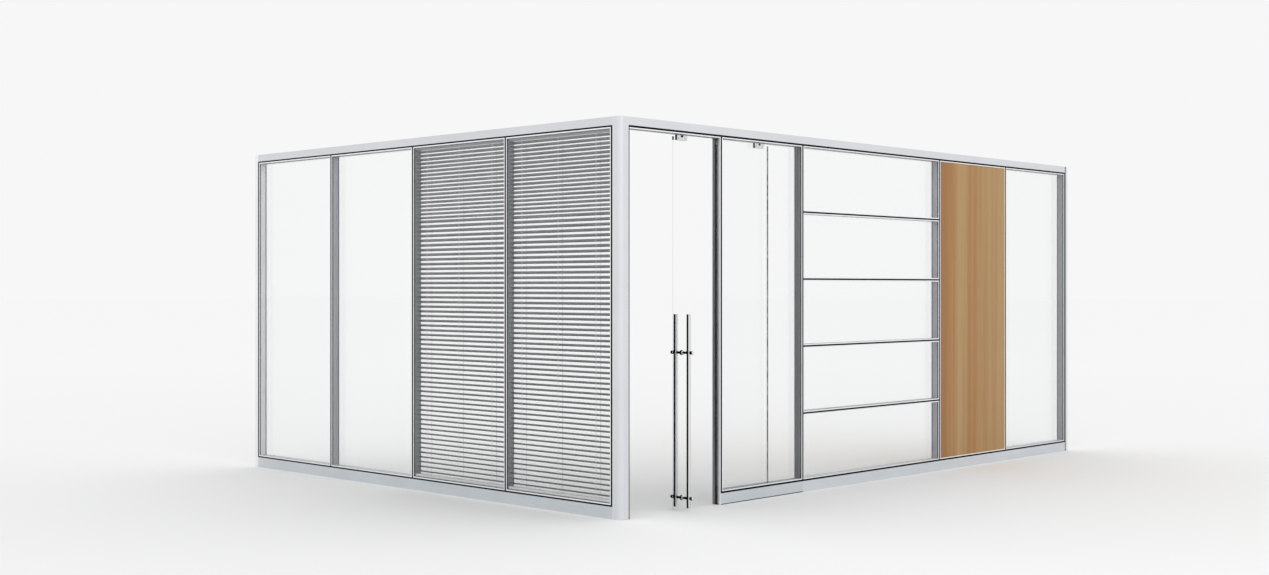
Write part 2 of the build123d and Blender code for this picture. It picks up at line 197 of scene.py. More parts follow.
def tone(*levels):
    """A colour as it looks on a screen, 0 to 255, turned into the linear values that shaders use."""
    return tuple(((n / 255 + 0.055) / 1.055) ** 2.4 for n in levels)


print("finish language ready")

# %% [markdown]
# ## Studio light
# The product stands in a white room, so its light is soft and comes from everywhere. The world gives
# this even part. The camera sees the world as an off-white backdrop, while the light that falls on the
# object, and what metal mirrors, is set by itself.

# %% World
sky_strength = 0.975
backdrop = tone(247, 247, 247)[0]
world = bpy.data.worlds.new("studio")
world.use_nodes = True
bpy.context.scene.world = world
sky_tree = world.node_tree
sky = sky_tree.nodes["Background"]
sky.inputs["Color"].default_value = (1, 1, 1, 1)
paths = sky_tree.nodes.new("ShaderNodeLightPath")
strength = sky_tree.nodes.new("ShaderNodeMix")
strength.inputs["A"].default_value = sky_strength
strength.inputs["B"].default_value = backdrop
seen = sky_tree.nodes.new("ShaderNodeMath")
seen.operation = "MAXIMUM"
sky_tree.links.new(paths.outputs["Is Camera Ray"], seen.inputs[0])
sky_tree.links.new(paths.outputs["Is Transmission Ray"], seen.inputs[1])
sky_tree.links.new(seen.outputs[0], strength.inputs["Factor"])
sky_tree.links.new(strength.outputs[0], sky.inputs["Strength"])
print("world ready")

# %% [markdown]
# ## Front lamp
# One broad, soft lamp stands high in front of the wing with the door and faces the middle of the wall. It
# is weak, and only keeps the two wings a little apart in tone.

# %% Front lamp
lamp_place = Vector((-5.0, -11.0, 7.0))
wall_middle = Vector((2.0, 1.5, 1.0))
lamp_data = bpy.data.lights.new("front_lamp", "AREA")
lamp_data.shape = "SQUARE"
lamp_data.size = 8.0
lamp_data.energy = 200
lamp = bpy.data.objects.new("front_lamp", lamp_data)
lamp.location = lamp_place
lamp.rotation_euler = (wall_middle - lamp_place).to_track_quat("-Z", "Y").to_euler()
bpy.context.scene.collection.objects.link(lamp)
bpy.context.scene.view_settings.view_transform = "Standard"
print("lamp", lamp_data.energy, "watts")

# %% [markdown]
# ## Floor
# A plain pale floor takes the wall's soft shadow. It is one large sheet whose far part is as bright as
# the backdrop, so the horizon almost goes away. It lies a hair lower than the wall's feet.

# %% Floor
floor_side = 400.0
floor_drop = 0.0005


def pale_floor():
    """Matt near-white floor, a little brighter far away."""
    finish = Finish("pale_floor")
    here = finish.place((0.04, 0.04, 0.04))
    reach = finish.node("ShaderNodeVectorMath", {"operation": "LENGTH"}, {0: here}, out="Value")
    far = finish.between(reach, 0.2, 0.9)
    mottle = finish.noise(finish.place((0.5, 0.5, 0.5)), detail=2)
    near_colour = finish.blend(mottle, tone(245, 245, 245), tone(246, 246, 246))
    colour = finish.blend(far, near_colour, tone(249, 249, 249))
    return finish.close(Base_Color=colour, Roughness=0.9, Specular_IOR_Level=0.0)


bpy.ops.object.select_all(action="DESELECT")
bpy.ops.mesh.primitive_plane_add(size=floor_side, location=(0, 0, -floor_drop))
floor = bpy.context.active_object
floor.name = "floor"
floor.data.materials.append(pale_floor())
print("floor", floor_side, "m")

# %% [markdown]
# ## Aluminium
# The rails, posts and frames are extruded aluminium with a satin anodised skin. Drawing the metal through
# its die leaves faint lines along its length, and the bath leaves soft clouds, so one finish is written
# with its grain stretched along an axis, and given other tones for the several profiles. A patch is a
# share of the skin that takes another tone, such as painted shade on the faces that look down or on a
# part of a post.

# %% Aluminium
die_line_density = 140.0
die_line_stretch = 90
patch_fade = 0.0005


def looks_down(depth):
    """The faces that look down, as a share up to a depth."""
    return lambda finish: depth * finish.between(finish.facing((0, 0, -1)), 0.6, 0.9)


def looks_across(finish):
    """The faces that look out of the right wing, on both sides."""
    squarely = finish.facing((0, 1, 0))
    return finish.between(squarely * squarely, 0.7, 0.9)


def short_of(axis, place):
    """The part of a profile before a place on an axis."""
    return lambda finish: finish.between(finish.along(axis), place + patch_fade, place - patch_fade)


def satin_aluminium(name, light, dark, along=None, metal=0.35, roughness=0.42, patches=()):
    """Anodised skin between two tones, with die lines along one axis, and patches of other tones."""
    finish = Finish(name)
    stretch = [die_line_density] * 3
    if along is not None:
        stretch["XYZ".index(along)] = die_line_density / die_line_stretch
    lines = finish.noise(finish.place(stretch), detail=2)
    clouds = finish.noise(finish.place((1.6, 1.6, 1.6)), detail=4, rough=0.6)
    colour = finish.blend(finish.between(0.35 * lines + 0.65 * clouds, 0.3, 0.7), dark, light)
    for share, patch in patches:
        colour = finish.blend(share(finish), colour, patch)
    return finish.close(
        Base_Color=colour,
        Metallic=metal,
        Roughness=roughness - 0.06 + 0.12 * lines,
        Normal=finish.bump(lines, 0.00008),
    )


print("aluminium ready")

# %% [markdown]
# ## Glass
# Clear float glass mirrors a little of the room, more at a glancing angle, and lets the rest through.
# Alpha carries that share: Layer Weight's facing, raised to the fifth power, is the usual curve. The
# cut edges of a pane are grey-green, because there one looks into the length of the sheet. Light on its
# way to other things loses a fifth at each face, which gives the wall its soft shadow. The eye's own ray
# loses less, or the panes would read as grey. One line of sight can cross both wings and the door, so
# more see-through surfaces in a row are allowed than usual.

# %% Glass
light_loss = 0.21
seal_width = 0.006
seal_fade = 0.001
bpy.context.scene.cycles.transparent_max_bounces = 24


def clear_glass(name, across, trail=None):
    """Float glass whose broad faces look across. A leaf's trailing edge, at trail on X, has a dark seal."""
    finish = Finish(name)
    direct = finish.node("ShaderNodeLightPath", out="Is Camera Ray")
    mirrored = finish.node("ShaderNodeLightPath", out="Is Glossy Ray")
    seen = direct.math("MAXIMUM", direct, mirrored)
    grazing = finish.node("ShaderNodeLayerWeight", {}, {"Blend": 0.5}, out="Facing")
    mirror = 0.035 + 0.9 * grazing ** 5.0
    smears = finish.noise(finish.place((2.5, 2.5, 1.2)), detail=5, rough=0.65, bend=0.4)
    squarely = finish.facing(across)
    edge = 1 - squarely * squarely
    colour = finish.blend(edge, (0.86, 0.89, 0.88), tone(118, 132, 128))
    edge_alpha = 0.3 if trail is None else 0.14
    clear = (mirror + 0.012 * finish.between(smears, 0.45, 0.8)) * (1 - edge) + edge_alpha * edge
    if trail is not None:
        seal_start = trail - seal_width
        seal = finish.between(finish.along("X"), seal_start, seal_start + seal_fade)
        teeth = finish.noise(finish.place((1, 1, 24)), detail=2)
        colour = finish.blend(seal, colour, tone(28, 29, 31))
        clear = clear * (1 - seal) + seal * (0.72 + 0.28 * finish.between(teeth, 0.4, 0.6))
    alpha = clear * seen + light_loss * (1 - seen)
    return finish.close(
        Base_Color=finish.blend(seen, (0.1, 0.1, 0.1), colour),
        Metallic=1.0,
        Roughness=0.02 + 0.05 * smears,
        Alpha=alpha,
    )


print("glass ready")

# %% [markdown]
# ## Rubber, plastic and cord
# Black gaskets sit in the shadow joints and behind the glass. They are matt, dusty in places and never
# quite black. The floor guide is moulded nylon, and the ladder cords are braided polyester.

# %% Rubber, plastic and cord
def matt_rubber():
    """Black rubber with a little dust."""
    finish = Finish("gasket_rubber")
    dust = finish.noise(finish.place((30, 30, 30)), detail=5, rough=0.7)
    colour = finish.blend(finish.between(dust, 0.4, 0.75), tone(14, 15, 17), tone(32, 33, 35))
    return finish.close(
        Base_Color=colour,
        Roughness=0.7 + 0.2 * dust,
        Specular_IOR_Level=0.1,
        Normal=finish.bump(dust, 0.0003),
    )


def moulded_nylon():
    """Dark grey nylon with a pebbled skin and scuffs."""
    finish = Finish("guide_nylon")
    pebble = finish.noise(finish.place((900, 900, 900)), detail=2)
    scuffs = finish.noise(finish.place((40, 12, 40)), detail=4)
    colour = finish.blend(finish.between(scuffs, 0.5, 0.8), tone(40, 41, 43), tone(78, 79, 80))
    return finish.close(Base_Color=colour, Roughness=0.5 + 0.1 * scuffs, Normal=finish.bump(pebble, 0.0001))


def braided_cord():
    """Pale cord with the level ridges of its braid."""
    finish = Finish("ladder_braid")
    values = {"Vector": finish.place(), "Scale": 260.0, "Distortion": 1.5, "Detail": 1.0}
    weave = finish.node("ShaderNodeTexWave", {"bands_direction": "Z"}, values, out="Fac")
    colour = finish.blend(weave, tone(214, 216, 218), tone(238, 239, 240))
    return finish.close(Base_Color=colour, Roughness=0.85, Normal=finish.bump(weave, 0.0002))


print("rubber, plastic and cord ready")

# %% [markdown]
# ## Wood veneer
# The panel is faced with one tall sheet of oak-like veneer. Its figure is growth rings cut nearly along
# the trunk, so rings become long upright bands. A slow noise bends the rings and stretched fine noise
# makes the pores, the darker short lines that catch the light. Where the saw passed near the heart of the
# trunk the sheet is redder: once along its left side and once in a streak near its middle.

# %% Wood veneer
heart_streak = 4.89
heart_side = 4.62
heart_fade = 0.06


def oak_veneer():
    """Oak-like veneer whose bands run up the panel."""
    finish = Finish("oak_veneer")
    bend = finish.noise(finish.place((1.1, 1.1, 0.2)), detail=3, rough=0.5)
    across = finish.along("X")
    ring = finish.node("ShaderNodeMath", {"operation": "SINE"}, {0: 60.0 * across + 18.0 * bend})
    drift = across + 0.12 * bend
    streak = finish.node("ShaderNodeMath", {"operation": "ABSOLUTE"}, {0: drift - heart_streak})
    heart = finish.between(streak, 0.05 + heart_fade, 0.05)
    heart = heart + finish.between(drift, heart_side, heart_side - heart_fade)
    broad = finish.noise(finish.place((2.4, 2.4, 0.08), (0.35, 0, 0)), detail=2, rough=0.4)
    bands = finish.noise(finish.place((13, 13, 0.2)), detail=4, rough=0.55)
    fibres = finish.noise(finish.place((120, 120, 1.2)), detail=4, rough=0.6)
    pores = finish.between(finish.noise(finish.place((420, 420, 7)), detail=2), 0.56, 0.74)
    grain = 0.8 * (broad - 0.5) + 0.7 * (bands - 0.5) + 0.6 * (fibres - 0.5) + 0.04 * ring
    figure = 0.6 + grain - 0.22 * heart
    colour = finish.node("ShaderNodeValToRGB", {"stops": [
        (0.2, tone(158, 112, 66)),
        (0.42, tone(168, 125, 76)),
        (0.58, tone(172, 135, 88)),
        (0.85, tone(178, 147, 102)),
    ]}, {"Fac": figure})
    colour = finish.blend(0.25 * pores, colour, tone(120, 82, 50))
    return finish.close(
        Base_Color=colour,
        Roughness=0.42 + 0.12 * fibres,
        Specular_IOR_Level=0.25,
        Normal=finish.bump(fibres - 0.6 * pores, 0.0002),
    )


print("veneer ready")

# %% [markdown]
# ## Steel and slats
# The pull handles are polished stainless steel, which mirrors the room: pale in front. The side that looks
# at the blinds' wing is painted dark, a painted reflection of the blinds, and the painted dark reaches a
# little further round the bar behind the leaf. The hangers and the foot plate are brushed, with the same
# side painted dark as painted shade. The slats are coil-coated silver above. Their grey lower faces are
# painted shade, darker low on the blind and paler towards the head.

# %% Steel and slats
painted_dark_direction = (-0.668, 0.744, 0.0)


def steel(name, light, dark, roughness, along="Z"):
    """Stainless steel with a grind that runs along one axis. One side is painted dark, a painted reflection
    of the blinds when polished and painted shade when brushed.
    """
    finish = Finish(name)
    stretch = [600.0] * 3
    stretch["XYZ".index(along)] = 8.0
    grind = finish.noise(finish.place(stretch), detail=3)
    touch = finish.noise(finish.place((9, 9, 5)), detail=4, rough=0.6)
    colour = finish.blend(0.5 * grind + 0.5 * touch, dark, light)
    behind_glass = finish.between(finish.along("Y"), 0.0, 0.01)
    # Painted dark side: faces turned towards the blinds' wing are painted near black, a painted reflection
    # on polished steel and painted shade on brushed steel. Behind the glass it reaches a little further
    # round.
    painted_dark_side = finish.between(finish.facing(painted_dark_direction) + 0.1 * behind_glass, 0.0, 0.3)
    return finish.close(
        Base_Color=finish.blend(painted_dark_side, colour, tone(16, 17, 19)),
        Metallic=1 - painted_dark_side,
        Specular_IOR_Level=0.0,
        Roughness=roughness * 0.7 + roughness * 0.6 * touch,
        Normal=finish.bump(grind, 0.00003),
    )


def coated_slat():
    """Silver coat on the upper face, and grey painted shade on the lower one, darker low on the blind."""
    finish = Finish("coated_slat")
    upper = finish.between(finish.facing((0, 0, 1)), -0.1, 0.1)
    clouds = finish.between(finish.noise(finish.place((3, 3, 30)), detail=4), 0.35, 0.65)
    silver = finish.blend(clouds, tone(196, 199, 201), tone(214, 216, 218))
    # Painted shade on the lower faces: darker near the foot of the blind, paler towards the head.
    low_underside_shade = finish.blend(clouds, tone(62, 65, 68), tone(78, 81, 84))
    high_underside_shade = finish.blend(clouds, tone(116, 120, 123), tone(146, 149, 152))
    grey = finish.blend(finish.between(finish.along("Z"), 0.2, 2.5), low_underside_shade, high_underside_shade)
    brush = finish.noise(finish.place((400, 3, 400)), detail=2)
    return finish.close(
        Base_Color=finish.blend(upper, grey, silver),
        Metallic=0.25,
        Roughness=0.36 + 0.1 * brush,
        Normal=finish.bump(brush, 0.00005),
    )


print("steel and slats ready")

# %% [markdown]
# ## Finishes of the frame
# The profiles differ in tone, painted to stand for how they catch the room's light, and in the axis of
# their die lines. Each pair of tones is a light and a dark one. The patches are painted shade on the
# undersides, a darker band at the foot of the pocket's rail, painted shade of a recess on the right end
# post, painted light on the outward faces and near edge of the slotted post, painted shade in its slot,
# and the bottom rails of the blinds painted lighter than their grey head boxes.

# %% Finishes of the frame
head_tones = tone(222, 222, 226), tone(212, 213, 218)
left_tones = tone(219, 220, 223), tone(209, 210, 215)
skirt_tones = tone(209, 214, 218), tone(196, 202, 206)
far_skirt_tones = tone(217, 221, 225), tone(204, 209, 213)
post_tones = tone(224, 226, 229), tone(214, 216, 220)
end_tones = tone(244, 245, 247), tone(234, 235, 238)
strip_tones = tone(246, 247, 248), tone(236, 237, 240)
grey_tones = tone(160, 164, 168), tone(146, 150, 155)
pale_tones = tone(180, 182, 188), tone(166, 168, 175)
deep_tones = tone(128, 131, 135), tone(112, 115, 119)
soffit_shade_tone = tone(30, 31, 33)
slot_shade_and_foot_band_tone = tone(40, 41, 43)
nose_width = 0.039
foot_band_height = 0.006
edge_start = -0.026
slot_shade_end = 0.014
between_rails = 1.5

# Painted shade: the faces that look down on the head rails and the frame strips are painted near black.
head_soffit_shade = (looks_down(0.75), soffit_shade_tone)
strip_soffit_shade = (looks_down(0.9), soffit_shade_tone)
# A darker band along the foot of the pocket's rail.
foot_band = (short_of("Z", foot_band_height), slot_shade_and_foot_band_tone)
# Painted shade of a recess on the right end post, on its face short of the light nose at the wall end.
end_recess_shade = (short_of("X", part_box("right_end_post")[1][0] - nose_width), tone(146, 148, 152))
# Painted light: the slotted post's faces that look out of the wing and its near edge are lighter than its
# grey sides, which stand for shade.
slot_face = (looks_across, tone(196, 198, 202))
slot_edge = (short_of("Y", edge_start), tone(228, 230, 233))
# Painted shade in the slot of the pocket post.
slot_shade = (short_of("Y", slot_shade_end), slot_shade_and_foot_band_tone)
# Painted light: the blinds' bottom rails are much lighter than their head boxes, which keep the grey tones
# as painted shade.
painted_light_bottom_rails = (short_of("Z", between_rails), tone(240, 242, 244))

head_x = satin_aluminium("head_rail_x", *head_tones, "X", patches=[head_soffit_shade])
head_y = satin_aluminium("head_rail_y", *left_tones, "Y", patches=[head_soffit_shade])
skirt_x = satin_aluminium("skirting_x", *far_skirt_tones, "X")
pocket_skirt = satin_aluminium("pocket_skirting", *skirt_tones, "X", patches=[foot_band])
skirt_y = satin_aluminium("skirting_y", *skirt_tones, "Y")
post_skin = satin_aluminium("post_skin", *post_tones, "Z", metal=0.5, roughness=0.52)
left_end_skin = satin_aluminium("left_end_skin", *end_tones, "Z")
right_end_skin = satin_aluminium("right_end_skin", *end_tones, "Z", patches=[end_recess_shade])
strip_skin = satin_aluminium("frame_skin", *strip_tones, patches=[strip_soffit_shade])
slot_skin = satin_aluminium("slotted_post_skin", *grey_tones, "Z", patches=[slot_face, slot_edge])
slot_back = satin_aluminium("slotted_post_back", *deep_tones, "Z", patches=[slot_shade])
pale_mullion = satin_aluminium("pale_mullion_skin", *pale_tones, "Z")
deep_mullion = satin_aluminium("deep_mullion_skin", *deep_tones, "Z")
rail_coat = satin_aluminium("blind_rail_coat", *grey_tones, "Y", patches=[painted_light_bottom_rails])
mullion_skin = satin_aluminium("mullion_skin", *grey_tones, "Z")
bar_skin = satin_aluminium("transom_skin", *grey_tones, "X")
polished = steel("polished_steel", (0.84, 0.84, 0.85), (0.7, 0.7, 0.72), 0.09)
brushed = steel("brushed_steel", (0.8, 0.8, 0.81), (0.62, 0.62, 0.64), 0.3, along="X")
slat_coat = coated_slat()
left_pane = clear_glass("float_glass_x", (1, 0, 0))
right_pane = clear_glass("float_glass_y", (0, 1, 0))
leaf_pane = clear_glass("leaf_glass", (0, 1, 0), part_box("door_glass")[1][0])
rubber = matt_rubber()
nylon = moulded_nylon()
braid = braided_cord()
veneer = oak_veneer()
print(len(bpy.data.materials), "materials")

# %% [markdown]
# ## Dressing the frame
# Each part of the frame gets the finish of its profile. A part keeps its mesh, and only its material slots
# change. What the list leaves out goes by its name: rubber, pane frames, panes, and the plain mullions.

# %% Dress the frame
finishes = {
    "left_head_rail": head_y,
    "right_head_rail": head_x,
    "door_head_rail": head_x,
    "door_head_trim": strip_skin,
    "left_floor_rail": skirt_y,
    "right_floor_rail": skirt_x,
    "pocket_floor_rail": pocket_skirt,
    "corner_post": post_skin,
    "left_end_post": left_end_skin,
    "right_end_post": right_end_skin,
    "left_mullion_3": pale_mullion,
    "panel_mullion": pale_mullion,
    "wide_mullion": deep_mullion,
    "corner_foot_plate": brushed,
    "wide_transoms": bar_skin,
    "veneer_panels": veneer,
    "blind_1_slats": slat_coat,
    "blind_2_slats": slat_coat,
    "blind_rails": rail_coat,
    "blind_ladders": braid,
    "door_glass": leaf_pane,
    "door_hanger_lead": brushed,
    "door_hanger_trail": brushed,
    "handle_bars": polished,
    "handle_fixings": polished,
    "floor_guide": nylon,
    "pocket_post_inner": slot_back,
    "pocket_post_outer": slot_skin,
}
for name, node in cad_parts.items():
    if name in finishes:
        skin = finishes[name]
    elif name.endswith("_rubber"):
        skin = rubber
    elif "_frame" in name:
        skin = strip_skin
    elif "_glass" in name:
        skin = left_pane if name.startswith("left") else right_pane
    else:
        skin = mullion_skin
    node.data.materials.clear()
    node.data.materials.append(skin)
print("dressed", len(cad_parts), "nodes")

# %% [markdown]
# ## Modelling by hand, in code
# Each new piece starts as a primitive and is shaped in edit mode, as at the screen. A few helpers keep the
# cells short. The first ones start a piece, pick faces or points by a test, and turn a profile on a lathe.

# %% Starting and picking
import bmesh


def start(name):
    """Names the primitive that was just added and opens it for editing."""
    piece = bpy.context.active_object
    piece.name = name
    bpy.ops.object.mode_set(mode="EDIT")
    bpy.ops.mesh.select_all(action="SELECT")
    return piece


def box_piece(name, low, high):
    """A cube brought to its size and place, open for editing."""
    bpy.ops.object.select_all(action="DESELECT")
    middle = [(a + b) / 2 for a, b in zip(low, high)]
    bpy.ops.mesh.primitive_cube_add(size=1, location=middle)
    bpy.context.active_object.scale = [b - a for a, b in zip(low, high)]
    bpy.ops.object.transform_apply(location=True, rotation=True, scale=True)
    return start(name)


def pick_faces(test):
    """Selects the faces whose middle and normal pass a test."""
    bpy.ops.mesh.select_mode(type="FACE")
    bpy.ops.mesh.select_all(action="DESELECT")
    mesh = bmesh.from_edit_mesh(bpy.context.edit_object.data)
    for face in mesh.faces:
        face.select_set(test(face.calc_center_median(), face.normal))
    bmesh.update_edit_mesh(bpy.context.edit_object.data)


def pick_points(test):
    """Selects the points whose place passes a test."""
    bpy.ops.mesh.select_mode(type="VERT")
    bpy.ops.mesh.select_all(action="DESELECT")
    mesh = bmesh.from_edit_mesh(bpy.context.edit_object.data)
    for point in mesh.verts:
        point.select_set(test(point.co))
    mesh.select_flush(True)
    bmesh.update_edit_mesh(bpy.context.edit_object.data)


def turned(name, profile, sides=32):
    """Lathe work along Z: a disc extruded and resized through (height, radius) steps."""
    height, radius = profile[0]
    bpy.ops.object.select_all(action="DESELECT")
    bpy.ops.mesh.primitive_circle_add(vertices=sides, radius=radius, fill_type="NGON", location=(0, 0, 0))
    piece = start(name)
    bpy.ops.transform.translate(value=(0, 0, height))
    for next_height, next_radius in profile[1:]:
        step = (0, 0, next_height - height)
        bpy.ops.mesh.extrude_region_move(TRANSFORM_OT_translate={"value": step})
        bpy.ops.transform.resize(
            value=(next_radius / radius, next_radius / radius, 1),
            center_override=(0, 0, next_height),
        )
        height, radius = next_height, next_radius
    bpy.ops.mesh.select_all(action="SELECT")
    bpy.ops.mesh.normals_make_consistent(inside=False)
    bpy.ops.object.mode_set(mode="OBJECT")
    return piece


print("first helpers ready")

# %% [markdown]
# ## Changing, copying and ending
# The other helpers apply a modifier, break edges, settle a piece at its place, and copy and join pieces.
# The last one ends a piece: smooth by angle, finish, body and slot.

# %% Changing, copying and ending
def only(piece):
    """Makes a piece the one selected object."""
    bpy.ops.object.select_all(action="DESELECT")
    piece.select_set(True)
    bpy.context.view_layer.objects.active = piece


def modify(piece, kind, **settings):
    """Adds a modifier and applies it."""
    only(piece)
    modifier = piece.modifiers.new(kind.title(), kind)
    for name, value in settings.items():
        setattr(modifier, name, value)
    bpy.ops.object.modifier_apply(modifier=modifier.name)


def soften(piece, width, segments=2):
    """Breaks the sharp edges of a piece."""
    modify(piece, "BEVEL", width=width, segments=segments, limit_method="ANGLE", angle_limit=radians(40))


def settle(piece, place=(0, 0, 0), turn=(0, 0, 0)):
    """Turns and moves a piece, then puts that into its mesh."""
    only(piece)
    piece.rotation_euler = turn
    piece.location = place
    bpy.ops.object.transform_apply(location=True, rotation=True, scale=True)


def copy_of(piece, place=(0, 0, 0), turn=(0, 0, 0)):
    """A copy with its own mesh, settled at a place."""
    twin = piece.copy()
    twin.data = piece.data.copy()
    bpy.context.scene.collection.objects.link(twin)
    settle(twin, place, turn)
    return twin


def joined(pieces, name):
    """Several meshes as one piece."""
    only(pieces[0])
    for piece in pieces:
        piece.select_set(True)
    bpy.ops.object.join()
    pieces[0].name = name
    return pieces[0]


def done(piece, skin, body, stands_for=()):
    """Ends a piece: smooth by angle, finish, body, slot and the nodes it stands for."""
    only(piece)
    bpy.ops.object.shade_smooth_by_angle(angle=radians(35))
    piece.data.materials.clear()
    piece.data.materials.append(skin)
    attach(piece, body)
    if stands_for:
        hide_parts(*stands_for)
    print(piece.name, len(piece.data.polygons), "faces")


print("helpers ready")

# %% [markdown]
# ## Blind slats
# A slat is a strip of aluminium, 50 mm wide and rolled to a shallow crown so that it stays straight
# over its span. One slat starts as a grid, its rows of points are lifted into the crown, and Solidify
# gives it a sheet's thickness. The others are copies at their levels on the ladders. Near the head they
# hang closer together and tilt a little less.

# %% Blind slats
slat_width = 0.050
slat_sheet = 0.0008
slat_crown = 0.0026
slat_rows = 8
slat_tilt = radians(25)
upper_tilt = radians(20)
slat_pitch = 0.040
upper_pitch = 0.033
upper_zone = 2.287
above_rail = 0.024
below_box = 0.014


def slat_levels(rail_top, box_base):
    """Levels of the slats: one pitch up to the upper zone and a closer one in it."""
    levels = [rail_top + above_rail]
    while levels[-1] + upper_pitch < box_base - below_box:
        pitch = slat_pitch if levels[-1] + slat_pitch < upper_zone else upper_pitch
        levels.append(levels[-1] + pitch)
    return levels


def crowned_slat(length):
    """One slat along Y, level, its middle at the origin."""
    bpy.ops.object.select_all(action="DESELECT")
    bpy.ops.mesh.primitive_grid_add(x_subdivisions=slat_rows, y_subdivisions=1, size=1)
    slat = start("slat")
    bpy.ops.transform.resize(value=(slat_width, length, 1), center_override=(0, 0, 0))
    for row in range(1, slat_rows):
        across = slat_width * (row / slat_rows - 0.5)
        pick_points(lambda co: abs(co.x - across) < slat_width / slat_rows / 4)
        bpy.ops.transform.translate(value=(0, 0, slat_crown * (1 - (2 * across / slat_width) ** 2)))
    bpy.ops.object.mode_set(mode="OBJECT")
    modify(slat, "SOLIDIFY", thickness=slat_sheet, offset=1.0)
    return slat


ladder_low, ladder_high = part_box("blind_ladders")
levels = slat_levels(ladder_low[2], ladder_high[2])
for name in ("blind_1_slats", "blind_2_slats"):
    low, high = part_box(name)
    slat = crowned_slat(high[1] - low[1])
    middle = (low[1] + high[1]) / 2
    tilts = [upper_tilt if level > upper_zone else slat_tilt for level in levels]
    stack = [copy_of(slat, (0, middle, level), (0, tilt, 0)) for level, tilt in zip(levels, tilts)]
    bpy.data.objects.remove(slat)
    done(joined(stack, name.replace("slats", "slat_stack")), slat_coat, "wall", [name])

# %% [markdown]
# ## Pull handles
# Two long bars stand back to back on the glass. Each is a tube with a plug let into its ends, so the
# lathe profile steps in at the rim, drops a little and crosses to the middle.

# %% Handle bars
bar_low, bar_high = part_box("handle_bars")
bar_radius = (bar_high[0] - bar_low[0]) / 2
bar_x = (bar_high[0] + bar_low[0]) / 2
bar_reach = bar_high[1] - bar_radius
bar_length = bar_high[2] - bar_low[2]
rim = 0.0025
rim_chamfer = 0.0012
plug_drop = 0.0012
plug_radius = bar_radius - rim - 0.0008
tip_radius = 0.001

bar_profile = [
    (plug_drop, tip_radius),
    (plug_drop, plug_radius),
    (0, bar_radius - rim),
    (0, bar_radius - rim_chamfer),
    (rim_chamfer, bar_radius),
    (bar_length - rim_chamfer, bar_radius),
    (bar_length, bar_radius - rim_chamfer),
    (bar_length, bar_radius - rim),
    (bar_length - plug_drop, plug_radius),
    (bar_length - plug_drop, tip_radius),
]
bar = turned("pull_bar", bar_profile, sides=64)
bars = [copy_of(bar, (bar_x, side * bar_reach, bar_low[2])) for side in (-1, 1)]
bpy.data.objects.remove(bar)
done(joined(bars, "pull_bars"), polished, "leaf", ["handle_bars"])

# %% [markdown]
# ## Handle fixings
# A rod goes through the glass at two levels and carries both bars. From the glass outwards there are a
# thin washer, a rosette, a waisted neck, the bar, a collar and a cap with a rounded nose. It's one lathe
# profile, used on both sides and both levels.

# %% Handle fixings
fixing_low_box, fixing_high_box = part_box("handle_fixings")
glass_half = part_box("door_glass")[1][1]
rosette_radius = fixing_high_box[0] - bar_x
cap_end = fixing_high_box[1]
fixing_levels = (fixing_low_box[2] + rosette_radius, fixing_high_box[2] - rosette_radius)
bar_inside = bar_reach - bar_radius
bar_outside = bar_reach + bar_radius
neck = 0.0095
cap = 0.014

fixing_profile = [
    (glass_half, 0.008),
    (glass_half, rosette_radius),
    (glass_half + 0.0055, rosette_radius),
    (glass_half + 0.0075, rosette_radius - 0.0025),
    (glass_half + 0.008, 0.0125),
    (glass_half + 0.011, neck + 0.001),
    (glass_half + 0.014, neck),
    (bar_inside - 0.010, neck),
    (bar_inside - 0.007, neck + 0.0018),
    (bar_inside + 0.004, neck + 0.0018),
    (bar_outside - 0.004, neck + 0.0015),
    (bar_outside + 0.003, neck + 0.0015),
    (bar_outside + 0.004, cap - 0.001),
    (bar_outside + 0.005, cap),
    (bar_outside + 0.012, cap),
    (bar_outside + 0.0125, cap - 0.0012),
    (bar_outside + 0.0145, cap - 0.0012),
    (bar_outside + 0.015, cap),
    (cap_end - 0.005, cap),
    (cap_end - 0.0025, cap - 0.0012),
    (cap_end - 0.0008, cap - 0.0035),
    (cap_end, cap - 0.007),
    (cap_end, tip_radius),
]
fixing = turned("fixing", fixing_profile, sides=48)
fixings = [
    copy_of(fixing, (bar_x, 0, level), (side * pi / 2, 0, 0))
    for level in fixing_levels
    for side in (-1, 1)
]
bpy.data.objects.remove(fixing)
done(joined(fixings, "pull_bar_fixings"), polished, "leaf", ["handle_fixings"])

# %% [markdown]
# ## Hanger covers and screws
# Each hanger grips the top of the glass between two plates. A cover with a shallow panel closes each
# side, held by two button screws with a round socket. The cover is a cube whose outer face is inset and
# pushed in, and whose edges are broken. A black moulded block at its top locks it to the clamp.

# %% Hanger covers and screws
cover_margin = 0.002
cover_proud = 0.0016
cover_seat = 0.0002
cover_edge = 0.0005
panel_inset = 0.003
panel_depth = 0.0006
screw_inset = 0.022
screw_drop = 0.013
screw_profile = [
    (0, 0.0052),
    (0.0012, 0.0052),
    (0.0024, 0.0042),
    (0.0027, 0.0028),
    (0.0027, 0.0022),
    (0.0010, 0.0020),
    (0.0010, 0.0005),
]
below_trim = 0.006
clamp_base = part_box("door_hanger_lead")[0][2]
clamp_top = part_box("door_head_trim")[0][2] - below_trim
clamp_half = 0.009
lock_width = 0.022
lock_height = 0.017
lock_proud = 0.0015
lock_drop = 0.0004
lock_edge = 0.0004


